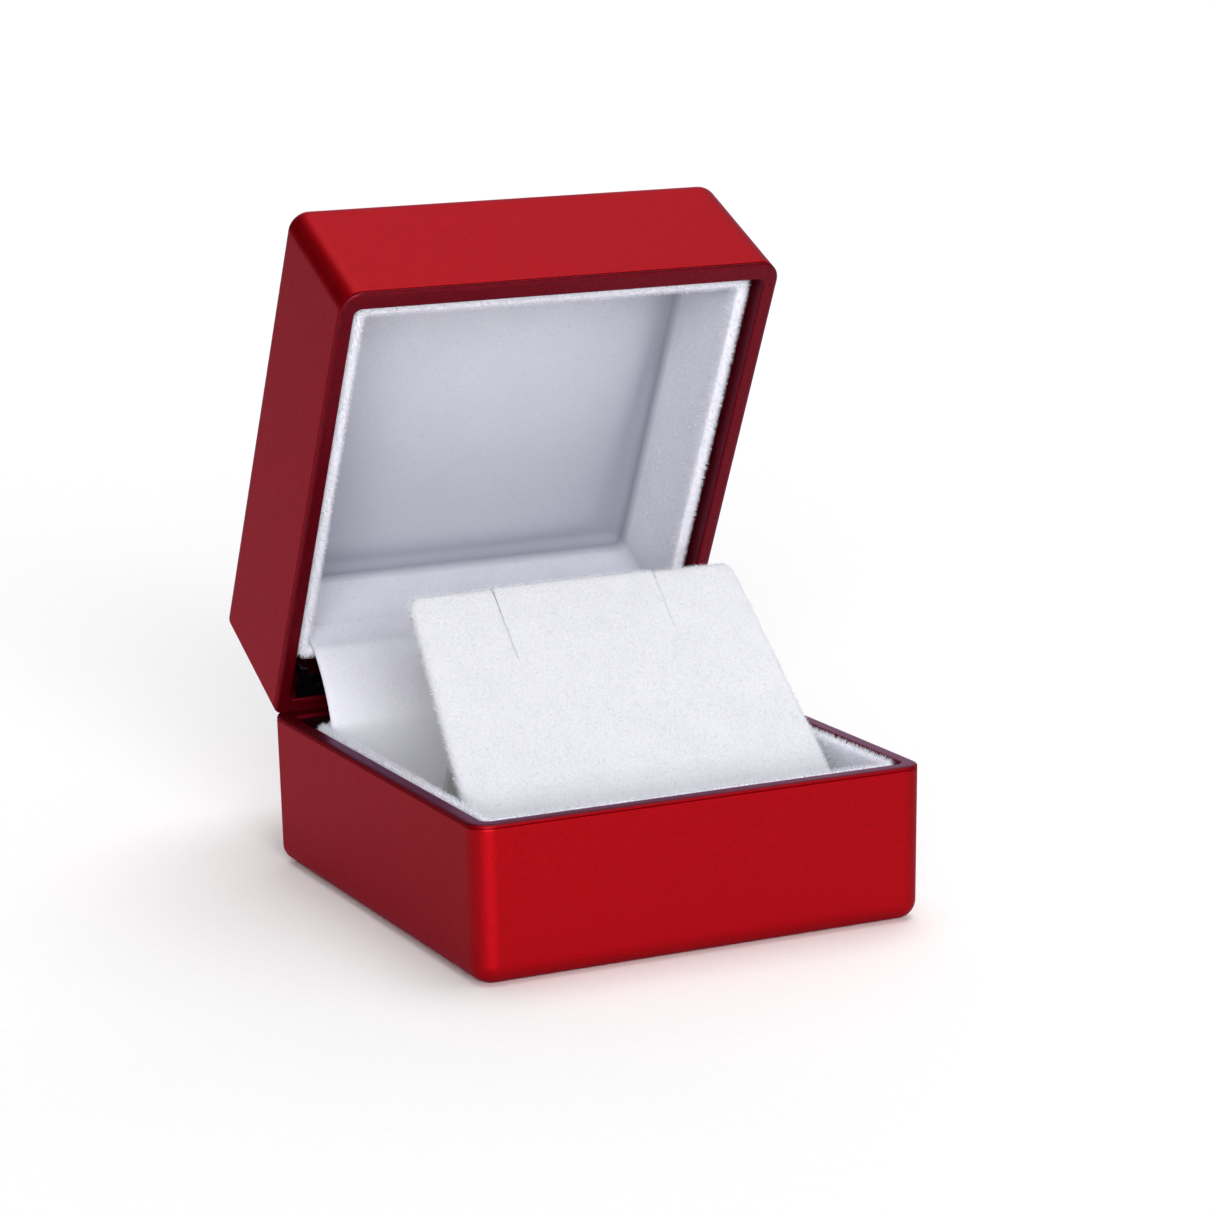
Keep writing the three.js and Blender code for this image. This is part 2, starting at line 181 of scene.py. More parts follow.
def makeFlock(name, light, shade, speckTone, clump, bumpDepth, paintedShadeTone=None):
    look = flockLook
    material, tree, place = newMaterial(name)
    grain = addNode(tree, "ShaderNodeTexNoise", {
        "Scale": perMetre(clump), "Detail": 3.0, "Roughness": 0.65}, {"Vector": place})
    patch = addNode(tree, "ShaderNodeTexNoise", {
        "Scale": perMetre(look["patchSize"]), "Detail": 2.0}, {"Vector": place})
    both = addNode(tree, "ShaderNodeMath", {"operation": "MULTIPLY_ADD", 1: look["patchShare"]},
                   {0: patch.outputs["Fac"], 2: grain.outputs["Fac"]})
    share = addNode(tree, "ShaderNodeMapRange", {
        "From Min": look["toneFrom"], "From Max": look["toneTo"]}, {"Value": both.outputs[0]})
    colour = addNode(tree, "ShaderNodeMix", {
        "data_type": "RGBA", 6: linearColour(shade), 7: linearColour(light)}, {0: share.outputs["Result"]})
    # Sparse dull specks where the pile parts
    parting = addNode(tree, "ShaderNodeTexNoise", {
        "Scale": perMetre(look["partingSize"]), "Detail": 2.0}, {"Vector": place})
    speck = addNode(tree, "ShaderNodeMapRange", {
        "From Min": look["partingFrom"], "From Max": look["partingTo"], "To Max": look["partingShare"]},
        {"Value": parting.outputs["Fac"]})
    colour = addNode(tree, "ShaderNodeMix", {"data_type": "RGBA", 7: linearColour(speckTone)},
                     {0: speck.outputs["Result"], 6: colour.outputs[2]})
    if paintedShadeTone:
        # Painted shade in the folds and a painted highlight along the lip, read from a per-point attribute
        # that runs from 1 (full shade) to -1 (full highlight).
        paintedLight = addNode(tree, "ShaderNodeAttribute", {"attribute_name": "paintedShadeAndHighlight"})
        fold = addNode(tree, "ShaderNodeMapRange", {}, {"Value": paintedLight.outputs["Fac"]})
        lip = addNode(tree, "ShaderNodeMapRange", {"From Max": -1.0}, {"Value": paintedLight.outputs["Fac"]})
        for tone, amount in ((paintedShadeTone, fold), (look["paintedHighlightTone"], lip)):
            colour = addNode(tree, "ShaderNodeMix", {"data_type": "RGBA", 7: linearColour(tone)},
                             {0: amount.outputs["Result"], 6: colour.outputs[2]})
    bump = addNode(tree, "ShaderNodeBump", {
        "Strength": look["bumpStrength"], "Distance": bumpDepth * mm}, {"Height": grain.outputs["Fac"]})
    finishMaterial(tree, {
        "Roughness": look["roughness"], "Specular IOR Level": look["specular"],
        "Sheen Weight": look["sheen"], "Sheen Roughness": look["sheenRoughness"]},
        {"Base Color": colour.outputs[2], "Normal": bump.outputs["Normal"]})
    return material


# Single nylon fibres: a translucent white thread, so only a soft highlight, and no grain but
# a slow change of tone from tuft to tuft.
def makeFibre():
    look = {"dark": "cdced8", "light": "dedee6", "tuftSize": 1.2, "roughness": 0.7, "specular": 0.3}
    material, tree, place = newMaterial("whiteNylonFibre")
    tone = addNode(tree, "ShaderNodeTexNoise", {
        "Scale": perMetre(look["tuftSize"]), "Detail": 1.0}, {"Vector": place})
    colour = addNode(tree, "ShaderNodeMix", {
        "data_type": "RGBA", 6: linearColour(look["dark"]), 7: linearColour(look["light"])},
        {0: tone.outputs["Fac"]})
    finishMaterial(tree, {"Roughness": look["roughness"], "Specular IOR Level": look["specular"]},
                   {"Base Color": colour.outputs[2]})
    return material


# Blackened pressed steel: nearly black, with a dull sheen and grain that runs along the leaf,
# rubbed a little brighter in patches.
def makeSteel():
    look = {
        "dark": "252326", "worn": "5e5c60", "grainSize": 0.25, "grainStretch": 0.06, "grainDepth": 0.02,
        "stainSize": 2.0, "wornFrom": 0.55, "wornTo": 0.75, "smoothest": 0.28, "roughest": 0.5,
    }
    material, tree, place = newMaterial("blackenedPressedSteel")
    stretch = addNode(tree, "ShaderNodeMapping", {"Scale": (look["grainStretch"], 1.0, 1.0)},
                      {"Vector": place})
    grain = addNode(tree, "ShaderNodeTexNoise", {
        "Scale": perMetre(look["grainSize"]), "Detail": 3.0}, {"Vector": stretch.outputs["Vector"]})
    stain = addNode(tree, "ShaderNodeTexNoise", {
        "Scale": perMetre(look["stainSize"]), "Detail": 3.0}, {"Vector": place})
    worn = addNode(tree, "ShaderNodeMapRange", {
        "From Min": look["wornFrom"], "From Max": look["wornTo"]}, {"Value": stain.outputs["Fac"]})
    rough = addNode(tree, "ShaderNodeMapRange", {
        "To Min": look["smoothest"], "To Max": look["roughest"]}, {"Value": grain.outputs["Fac"]})
    colour = addNode(tree, "ShaderNodeMix", {
        "data_type": "RGBA", 6: linearColour(look["dark"]), 7: linearColour(look["worn"])},
        {0: worn.outputs["Result"]})
    bump = addNode(tree, "ShaderNodeBump", {"Strength": 0.2, "Distance": look["grainDepth"] * mm},
                   {"Height": grain.outputs["Fac"]})
    finishMaterial(tree, {"Metallic": 1.0}, {
        "Base Color": colour.outputs[2], "Roughness": rough.outputs["Result"],
        "Normal": bump.outputs["Normal"]})
    return material


# White-lined board: smooth matt paper over pulp, with faint short fibres.
def makeCard():
    look = {
        "dark": "e2e0da", "light": "f2f1ec", "fibreSize": 0.3, "fibreStretch": 0.3, "fibreDepth": 0.05,
        "cloudSize": 4.0, "cloudShare": 0.4, "toneFrom": 0.45, "toneTo": 0.95,
        "roughness": 0.88, "specular": 0.3,
    }
    material, tree, place = newMaterial("whiteLinedBoard")
    stretch = addNode(tree, "ShaderNodeMapping", {"Scale": (look["fibreStretch"], 1.0, 1.0)},
                      {"Vector": place})
    fibres = addNode(tree, "ShaderNodeTexNoise", {
        "Scale": perMetre(look["fibreSize"]), "Detail": 4.0}, {"Vector": stretch.outputs["Vector"]})
    cloud = addNode(tree, "ShaderNodeTexNoise", {
        "Scale": perMetre(look["cloudSize"]), "Detail": 2.0}, {"Vector": place})
    both = addNode(tree, "ShaderNodeMath", {"operation": "MULTIPLY_ADD", 1: look["cloudShare"]},
                   {0: cloud.outputs["Fac"], 2: fibres.outputs["Fac"]})
    share = addNode(tree, "ShaderNodeMapRange", {
        "From Min": look["toneFrom"], "From Max": look["toneTo"]}, {"Value": both.outputs[0]})
    colour = addNode(tree, "ShaderNodeMix", {
        "data_type": "RGBA", 6: linearColour(look["dark"]), 7: linearColour(look["light"])},
        {0: share.outputs["Result"]})
    bump = addNode(tree, "ShaderNodeBump", {"Strength": 0.35, "Distance": look["fibreDepth"] * mm},
                   {"Height": fibres.outputs["Fac"]})
    finishMaterial(tree, {"Roughness": look["roughness"], "Specular IOR Level": look["specular"]},
                   {"Base Color": colour.outputs[2], "Normal": bump.outputs["Normal"]})
    return material


lacquer = makeLacquer("pearlRedLacquerOnAbs", "96000a", "a3000e", "a890c0", metallic=0.94, roughness=0.54)
# A darker copy of the lacquer for the rim frames: painted shade.
rimLacquerPaintedShade = makeLacquer("rimLacquerDarkenedAsPaintedShade", "50000a", "6a020e", "b0a0e0", metallic=0.6, roughness=0.4)
# One white flock in two copies: the base's is painted lighter and the lid's darker, standing in for the light
# inside each liner.
baseFlockPaintedLighter = makeFlock("whiteNylonFlockBasePaintedLighter", "f8f8fe", "f0f1fa", "e2e3ee", clump=0.35, bumpDepth=0.10,
                      paintedShadeTone="dcdde8")
lidFlockPaintedDarker = makeFlock("whiteNylonFlockLidPaintedDarker", "d8d8e1", "ccccd6", "c0c1cc", clump=0.35, bumpDepth=0.12,
                     paintedShadeTone="8c8d9a")
padVelvet = makeFlock("whitePadVelvet", "d0d0d5", "c4c4ca", "babac1", clump=0.38, bumpDepth=0.16)
fibre = makeFibre()
steel = makeSteel()
card = makeCard()
print("materials made")


def roundedRing(halfX, front, back, corner, z, arcSteps, sideSteps, backCorner=None):
    # A rounded rectangle of points, with two points beside each corner to keep the sides flat.
    besideCorner, mostBeside = 0.3, 0.2
    rear = backCorner or corner
    centres = [(halfX - rear, back - rear, 0, rear), (-halfX + rear, back - rear, 90, rear),
               (-halfX + corner, front + corner, 180, corner), (halfX - corner, front + corner, 270, corner)]
    arcs = []
    for cx, cy, start, radius in centres:
        turns = [math.radians(start + 90 * k / arcSteps) for k in range(arcSteps + 1)]
        arcs.append([(cx + radius * math.cos(turn), cy + radius * math.sin(turn)) for turn in turns])
    points = []
    for i, arc in enumerate(arcs):
        points += arc
        a, b = Vector(arc[-1]), Vector(arcs[(i + 1) % 4][0])
        edge = min(besideCorner / max((b - a).length, 1e-6), mostBeside)
        for k in range(sideSteps):
            points.append(tuple(a.lerp(b, edge + (1 - 2 * edge) * k / (sideSteps - 1))))
    return [Vector((x, y, z)) for x, y in points]


def quarterTurn(steps):
    # The angles that a rounded edge is drawn at.
    return [math.pi / 2 * k / steps for k in range(steps + 1)]


def loft(name, rings, material, move=None, loop=False, sharp=40):
    count = len(rings[0])
    points = [move(p) if move else p for ring in rings for p in ring]
    faces = []
    for r in range(len(rings) if loop else len(rings) - 1):
        a, b = r * count, ((r + 1) % len(rings)) * count
        faces += [(a + k, a + (k + 1) % count, b + (k + 1) % count, b + k) for k in range(count)]
    if not loop:
        faces.append(tuple(range(count)))
        faces.append(tuple(range((len(rings) - 1) * count, len(rings) * count)))
    return meshPiece(name, points, faces, material, sharp)


def smoothWithEdges(mesh, sharp):
    mesh.shade_smooth()
    mesh.set_sharp_from_angle(angle=math.radians(sharp))


def meshPiece(name, points, faces, material, sharp=40):
    # Points are in millimetres, in the box's own frame.
    mesh = bpy.data.meshes.new(name)
    mesh.from_pydata([tuple(Vector(p) * mm) for p in points], [], faces)
    work = bmesh.new()
    work.from_mesh(mesh)
    bmesh.ops.remove_doubles(work, verts=work.verts, dist=1e-7)
    bmesh.ops.recalc_face_normals(work, faces=work.faces)
    work.to_mesh(mesh)
    work.free()
    mesh.materials.append(material)
    smoothWithEdges(mesh, sharp)
    piece = bpy.data.objects.new(name, mesh)
    scene.collection.objects.link(piece)
    return piece


def bakeModifiers(piece):
    # Turns the evaluated result into the piece's plain mesh.
    bpy.context.view_layer.update()
    graph = bpy.context.evaluated_depsgraph_get()
    result = bpy.data.meshes.new_from_object(piece.evaluated_get(graph))
    piece.modifiers.clear()
    old = piece.data
    piece.data = result
    bpy.data.meshes.remove(old)


def cutBlocks(piece, blocks, move=None):
    # Cuts plain notches, each given by its x, y and z limits in millimetres.
    for number, (x0, x1, y0, y1, z0, z1) in enumerate(blocks):
        corners = [(x, y, z) for x in (x0, x1) for y in (y0, y1) for z in (z0, z1)]
        if move:
            corners = [move(Vector(c)) for c in corners]
        sides = [(0, 1, 3, 2), (4, 6, 7, 5), (0, 4, 5, 1), (2, 3, 7, 6), (0, 2, 6, 4), (1, 5, 7, 3)]
        cutter = meshPiece(f"cutter{number}", corners, sides, lacquer)
        cut = piece.modifiers.new("notch", "BOOLEAN")
        cut.object = cutter
        cut.solver = "EXACT"
        bakeModifiers(piece)
        bpy.data.objects.remove(cutter)
    smoothWithEdges(piece.data, 40)
    return piece


def standsFor(piece, body, slot, *nodes):
    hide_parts(*nodes)
    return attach(piece, body)


# The box's own sizes in millimetres. The lid is drawn shut and then swung open.
hinge = Vector(joints["lid_hinge"]["pos_m"]) / mm
openAngle = -math.radians(joints["lid_hinge"]["range_deg"][0])
box = {
    "halfWidth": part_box("base_shell")[1].x / mm,
    "halfDepth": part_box("base_shell")[1].y / mm,
    "baseHeight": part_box("base_rim_frame")[1].z / mm,
    "lidHeight": 24.4, "partingGap": 0.3, "corner": 3.2, "rearSharper": 2.1, "gap": 0.3,
    "arcSteps": 12, "sideSteps": 6,
}
box["lidPlane"] = box["baseHeight"] + box["partingGap"]
box["lidTop"] = box["lidPlane"] + box["lidHeight"]


def openLid(p):
    # From the shut lid to the lid as it stands open.
    c, s = math.cos(openAngle), math.sin(openAngle)
    y, z = p.y - hinge.y, p.z - hinge.z
    return Vector((p.x, hinge.y + y * c + z * s, hinge.z - y * s + z * c))


def shutLid(p):
    # The way back, from the open lid to the shut one.
    c, s = math.cos(openAngle), math.sin(openAngle)
    y, z = p.y - hinge.y, p.z - hinge.z
    return Vector((p.x, hinge.y + y * c - z * s, hinge.z + y * s + z * c))


# Shell walls lean in a little towards the closed end, as a moulding does to leave its mould.
# A fine groove is left between each shell and its rim frame.
shell = {
    "wall": 1.3, "floor": 1.6, "draft": 0.011, "edge": 2.7, "edgeSteps": 10, "endInset": 0.6,
    "endCorner": 0.2, "leastCorner": 0.15, "mouthEdge": 0.1, "beforeMouth": 0.3, "afterEdge": 0.4,
    "lidSeam": 0.22, "baseSeam": 0.08,
}
rim = {
    "flange": 0.5, "width": 2.3, "lidFrontWidth": 2.8, "tongue": 3.0, "tongueCorner": 1.6,
    "tongueRoom": 0.05, "edge": 0.7, "edgeTall": 0.42, "edgeSteps": 8, "flat": 0.15,
    "innerEdge": 0.35, "innerCorner": 1.2, "innerDepth": 0.8, "innerSupport": 0.5,
    "leastRearCorner": 0.5, "rearLean": 0.02, "rearBead": 0.16,
}


def shellRings(isLid):
    rimZ = box["lidPlane"] if isLid else box["baseHeight"]
    outerEnd = box["lidTop"] if isLid else 0
    inward = 1 if isLid else -1
    wallEnd = rimZ + inward * (rim["flange"] + (shell["lidSeam"] if isLid else shell["baseSeam"]))
    rings = []

    def ring(inset, corner, z):
        lean = shell["draft"] * abs(z - rimZ)
        x = box["halfWidth"] - inset - lean
        y = box["halfDepth"] - inset - lean
        front = max(corner, shell["leastCorner"])
        rear = max(corner - box["rearSharper"], shell["leastCorner"])
        rings.append(roundedRing(x, -y, y, front, z, box["arcSteps"], box["sideSteps"], rear))

    edge, soft, corner = shell["edge"], shell["mouthEdge"], box["corner"]
    ring(edge + shell["endInset"], shell["endCorner"], outerEnd)
    for a in quarterTurn(shell["edgeSteps"]):
        inset = edge * (1 - math.sin(a))
        ring(inset, corner - inset, outerEnd - inward * edge * (1 - math.cos(a)))
    ring(0, corner, outerEnd - inward * (edge + shell["afterEdge"]))
    ring(0, corner, wallEnd + inward * (soft + shell["beforeMouth"]))
    ring(0, corner, wallEnd + inward * soft)
    ring(soft * 0.3, corner - soft * 0.3, wallEnd + inward * soft * 0.3)
    ring(soft, corner - soft, wallEnd)
    ring(shell["wall"], corner - shell["wall"], wallEnd)
    innerEnd = outerEnd - inward * shell["floor"]
    innerEdge = edge - shell["wall"]
    for a in reversed(quarterTurn(shell["edgeSteps"])):
        inset = innerEdge * (1 - math.sin(a))
        ring(shell["wall"] + inset, corner - shell["wall"] - inset,
             innerEnd - inward * innerEdge * (1 - math.cos(a)))
    return rings


def rimRings(isLid):
    rimZ = box["lidPlane"] if isLid else box["baseHeight"]
    inward = 1 if isLid else -1
    flangeEnd = rimZ + inward * rim["flange"]
    tongueEnd = flangeEnd + inward * rim["tongue"]
    tongueInset = shell["wall"] + box["gap"] + rim["tongueRoom"]
    rings = []

    def ring(inset, frontInset, corner, z):
        # Near the outside, the rear edge runs almost straight up, so that lid and base meet.
        x = box["halfWidth"] - inset
        front = -box["halfDepth"] + frontInset
        back = box["halfDepth"] - (rim["rearLean"] * inset if inset <= 1 else inset)
        rear = max(corner - box["rearSharper"], rim["leastRearCorner"])
        rings.append(roundedRing(x, front, back, corner, z, box["arcSteps"], box["sideSteps"], rear))

    edge, corner = rim["edge"], box["corner"]
    ring(tongueInset, tongueInset, rim["tongueCorner"], tongueEnd)
    ring(tongueInset, tongueInset, rim["tongueCorner"], flangeEnd)
    ring(rim["tongueRoom"], rim["tongueRoom"], corner - rim["tongueRoom"], flangeEnd)
    for a in quarterTurn(rim["edgeSteps"]):
        inset = edge * (1 - math.cos(a))
        ring(inset, inset, corner - inset, rimZ + inward * rim["edgeTall"] * (1 - math.sin(a)))
    ring(edge + rim["flat"], edge + rim["flat"], corner - edge - rim["flat"], rimZ)
    side = rim["width"]
    front = rim["lidFrontWidth"] if isLid else rim["width"]
    ring(side - rim["innerSupport"], front - rim["innerSupport"],
         rim["innerCorner"] + rim["innerSupport"], rimZ)
    for a in quarterTurn(rim["edgeSteps"]):
        back = rim["innerEdge"] * (1 - math.sin(a))
        ring(side - back, front - back, rim["innerCorner"] + back,
             rimZ + inward * rim["innerEdge"] * (1 - math.cos(a)))
    ring(side, front, rim["innerCorner"], rimZ + inward * rim["innerDepth"])
    ring(side, front, rim["innerCorner"], tongueEnd)
    if not isLid:
        # A low bead along the rear edge of the base, which the open lid stands over
        for p in (p for points in rings for p in points):
            if p.z > rimZ - 0.1 and p.y > box["halfDepth"] - 0.6:
                p.z += rim["rearBead"]
    return rings


# The slot that the hinge's knuckles turn in, and a pocket in the base for each of its springs
notch = {
    "half": 24, "knuckle": 1.1, "room": 0.4, "beyond": 6, "past": 1,
    "springX": 9.25, "springHalf": 2.6, "springDepth": 3.3, "springFloor": 20.7, "springTop": 30,
}


def hingeNotch(isLid):
    inward = 1 if isLid else -1
    floor = hinge.z + inward * (notch["knuckle"] + notch["room"])
    beyond = hinge.z - inward * notch["beyond"]
    front = box["halfDepth"] - rim["width"] - notch["past"]
    back = box["halfDepth"] + notch["past"]
    return (-notch["half"], notch["half"], front, back, min(floor, beyond), max(floor, beyond))


def springPocket(x):
    return (x - notch["springHalf"], x + notch["springHalf"], box["halfDepth"] - notch["springDepth"],
            box["halfDepth"] + notch["past"], notch["springFloor"], notch["springTop"])


baseNotches = [hingeNotch(False), springPocket(-notch["springX"]), springPocket(notch["springX"])]
baseShell = cutBlocks(loft("baseShell", shellRings(False), lacquer), baseNotches)
standsFor(baseShell, "base", "red_lacquer", "base_shell")
baseRim = cutBlocks(loft("baseRimFrame", rimRings(False), rimLacquerPaintedShade, loop=True), [hingeNotch(False)])
# Only its upper face gets the darker copy, as painted shade; its outer edge takes the shell's lacquer.
baseRim.data.materials.append(lacquer)
for face in baseRim.data.polygons:
    isOutward = face.normal.x * face.center.x + face.normal.y * face.center.y > 0
    isUpright = face.normal.z < 0.8
    isClearOfHinge = face.center.y < hinge.y * mm - 0.003
    face.material_index = int(isUpright and isOutward and isClearOfHinge)
standsFor(baseRim, "base", "red_lacquer", "base_rim_frame")
lidShell = cutBlocks(loft("lidShell", shellRings(True), lacquer, openLid), [hingeNotch(True)], openLid)
standsFor(lidShell, "lid", "red_lacquer", "lid_shell")
# The lid's rim frame is all in the darker copy: painted shade.
lidRim = cutBlocks(loft("lidRimFrame", rimRings(True), rimLacquerPaintedShade, openLid, loop=True),
                   [hingeNotch(True)], openLid)
standsFor(lidRim, "lid", "red_lacquer", "lid_rim_frame")
print("shells and rim frames made")


# Moulded liners, flocked inside, with painted shade in their folds and a painted highlight along the lip.
liners = {
    "baseHalf": 32.1, "lidHalf": 31.7, "baseTop": 22.6, "lidRecess": 2.2, "baseRear": 28.8, "lidRear": 29.3,
    "baseFrontGap": 0.55, "lidFrontGap": 1.0, "wall": 1.4, "lidExtraWall": 0.3,
    "baseCrease": 1.2, "lidCrease": 1.5, "baseCorner": 2.4, "lidCorner": 1.6, "leastCorner": 0.3,
    "endInset": 1.2, "endCorner": 1.4, "endEdge": 0.6, "belowLip": 1.5, "lipFlatness": 0.6,
    "innerCorner": 0.6, "arcSteps": 8, "sideSteps": 44, "unevenness": 0.07, "unevenSize": 3.0,
    "floorSteps": (0.4, 1.2, 2.4, 4.0, 6.0, 9.0, 12.0, 15.0, 18.0, 21.0, 24.0, 27.0),
    # Painted shade in the folds and on the lid's ceiling, and a painted highlight on the lip
    "foldWidth": 3.0, "foldShade": 0.32, "lipPaintedHighlight": 0.5, "ceilingDepth": 2,
    "ceilingShade": 0.72, "ceilingFade": 52, "sideShade": 0.35, "sideFade": 8,
}


def uneven(p, amount, size=liners["unevenSize"]):
    # A slow wander of a moulded and flocked edge.
    return amount * noise.noise(Vector((p.x, p.y, p.z)) / size)


def linerSizes(isLid):
    # What differs between the two liners, with the lid's taken in the shut lid.
    if isLid:
        return {
            "inward": 1, "half": liners["lidHalf"], "rear": liners["lidRear"],
            "front": -box["halfDepth"] + rim["lidFrontWidth"] + liners["lidFrontGap"],
            "wall": liners["wall"] + liners["lidExtraWall"], "lip": box["lidPlane"] + liners["lidRecess"],
            "end": box["lidTop"] - shell["floor"] - box["gap"],
            "floor": box["lidTop"] - shell["floor"] - box["gap"] - liners["wall"],
            "crease": liners["lidCrease"], "corner": liners["lidCorner"]}
    return {
        "inward": -1, "half": liners["baseHalf"], "rear": liners["baseRear"],
        "front": -box["halfDepth"] + rim["width"] + liners["baseFrontGap"],
        "wall": liners["wall"], "lip": liners["baseTop"], "end": shell["floor"] + box["gap"],
        "floor": shell["floor"] + box["gap"] + liners["wall"],
        "crease": liners["baseCrease"], "corner": liners["baseCorner"]}


def linerRings(isLid):
    size = linerSizes(isLid)
    inward, wall, corner, crease = size["inward"], size["wall"], size["corner"], size["crease"]
    rings = []

    def ring(inset, cornerRadius, z, wander=1.0):
        radius = max(cornerRadius, liners["leastCorner"])
        points = roundedRing(size["half"] - inset, size["front"] + inset, size["rear"] - inset,
                             radius, z, liners["arcSteps"], liners["sideSteps"])
        if wander:
            for p in points:
                p.z += uneven(p, liners["unevenness"] * wander)
                p.x += uneven(Vector((p.y, p.z, p.x)), 0.5 * liners["unevenness"] * wander)
        rings.append(points)

    ring(liners["endInset"], liners["endCorner"], size["end"], 0)
    for a in quarterTurn(3):
        inset = liners["endEdge"] * (1 - math.sin(a))
        ring(inset, corner - inset, size["end"] - inward * liners["endEdge"] * (1 - math.cos(a)), 0)
    r = wall / 2
    ring(0, corner, size["lip"] + inward * (r + liners["belowLip"]), 0)
    for k in range(13):
        # Over the lip, a little flatter than a half circle
        a = math.pi * k / 12
        inset = r * (1 - math.cos(a))
        drop = r * (1 - math.sin(a) ** liners["lipFlatness"])
        ring(inset, corner - inset * 0.4, size["lip"] + inward * drop)
    depth = abs(size["floor"] - size["lip"]) - crease - r
    for k in range(1, 7):
        ring(wall, corner - 0.2, size["lip"] + inward * (r + depth * k / 7), 0.3)
    for k, a in enumerate(quarterTurn(8)):
        ring(wall + crease * (1 - math.cos(a)), max(corner - 0.15 * k, liners["innerCorner"]),
             size["floor"] - inward * crease * (1 - math.sin(a)), 0)
    for further in liners["floorSteps"]:
        ring(wall + crease + further, liners["innerCorner"], size["floor"], 0)
    return rings


def setPaintedShadeAndHighlight(piece, values):
    piece.data.attributes.new("paintedShadeAndHighlight", "FLOAT", "POINT").data.foreach_set("value", values)


def paintShadeAndLipHighlight(piece, isLid):
    # From 1 for full painted shade in a fold or on the lid's ceiling, through 0, to -1 for a full painted
    # highlight on the lip.
    size = linerSizes(isLid)
    values = []
    for v in piece.data.vertices:
        p = shutLid(v.co / mm) if isLid else v.co / mm
        side = size["half"] - size["wall"] - abs(p.x)
        end = size["rear"] - size["wall"] - p.y
        deep = abs(p.z - size["floor"])
        fromLip = abs(p.z - size["lip"])
        gaps = sorted([abs(side), min(abs(p.y - size["front"] - size["wall"]), abs(end)), deep])
        # Painted shade along each crease where two walls, or a wall and the floor, meet
        paintedLight = liners["foldShade"] * math.exp(-(gaps[1] / liners["foldWidth"]) ** 2)
        # Painted shade over the lid's ceiling, darker towards the hinge and towards its sides
        if isLid and deep < liners["ceilingDepth"]:
            paintedLight += liners["ceilingShade"] * max(1 - (max(end, 0) / liners["ceilingFade"]) ** 2, 0)
            paintedLight += liners["sideShade"] * math.exp(-max(side, 0) / liners["sideFade"])
        # Painted highlight along the lip
        if fromLip < 1:
            paintedLight = -liners["lipPaintedHighlight"] * (1 - fromLip ** 2)
        values.append(min(paintedLight, 1))
    setPaintedShadeAndHighlight(piece, values)


baseLiner = loft("baseLiner", linerRings(False), baseFlockPaintedLighter, sharp=60)
standsFor(baseLiner, "base", "white_velvet", "base_liner")
lidLiner = loft("lidLiner", linerRings(True), lidFlockPaintedDarker, openLid, sharp=60)
paintShadeAndLipHighlight(baseLiner, False)
paintShadeAndLipHighlight(lidLiner, True)
standsFor(lidLiner, "lid", "white_velvet", "lid_liner")
print("liners made")


# The velvet pad: its sides lean in above the shoulder, and two slits leave three tabs at the top.
# The steps are distances between lines of points, measured in from a side, a slit or an end.
pad = {
    "angle": 45.6, "length": 53.2, "thickness": 4.0, "topHalf": 26.2, "bottomHalf": 28.9,
    "shoulder": 18.0, "shoulderIn": 0.2, "corner": 1.5, "roundOver": 1.0, "crown": 0.3, "crownLevel": 0.6,
    "back": 0.06, "leastThickness": 0.4, "taper": 0.9, "bottomProud": 0.2,
    "slits": [{"x": -13.0, "cut": 4.8, "length": 12.6, "lip": 0.2, "dent": 0.12},
              {"x": 13.0, "cut": 1.0, "length": 10.4, "lip": 0.11, "dent": 0.08}],
    "slitWidth": 0.2, "slitClosing": 0.75, "slitFade": 1.5, "dentWidth": 0.12,
    "mouthReach": 0.7, "mouthRadius": 0.5, "tabStep": 0.3, "unevenness": 0.05, "unevenSize": 2.5,
    "fieldStep": 0.62, "fieldRows": 84,
    "sideSteps": [0, 0.04, 0.15, 0.35, 0.6, 0.95, 1.4, 2.0],
    "slitSteps": [0.0, 0.05, 0.14, 0.28, 0.46, 0.75, 1.3],
    "topSteps": [0, 0.05, 0.15, 0.3, 0.5, 0.8, 1.2, 1.8],
    "bottomSteps": [0, 0.15, 0.5, 1.0],
}
padCloth = {
    "columns": 36, "rows": 36, "enlarged": 10, "width": 0.57, "height": 0.53, "slitFrom": 0.78,
    "pressure": 4, "tension": 15, "bending": 2, "frames": 20,
}
padPivot = Vector(joints["pad_tilt"]["pos_m"]) / mm


def onPad(u, s, n):
    # Across the pad, up along it from its lower edge, and out of its back.
    a = math.radians(pad["angle"])
    return Vector((u, padPivot.y + s * math.cos(a) - n * math.sin(a),
                   padPivot.z + s * math.sin(a) + n * math.cos(a)))


def padHalf(s):
    if s < pad["shoulder"]:
        return pad["bottomHalf"] - pad["shoulderIn"] * s / pad["shoulder"]
    share = (s - pad["shoulder"]) / (pad["length"] - pad["shoulder"])
    atShoulder = pad["bottomHalf"] - pad["shoulderIn"]
    return atShoulder + (pad["topHalf"] - atShoulder) * share


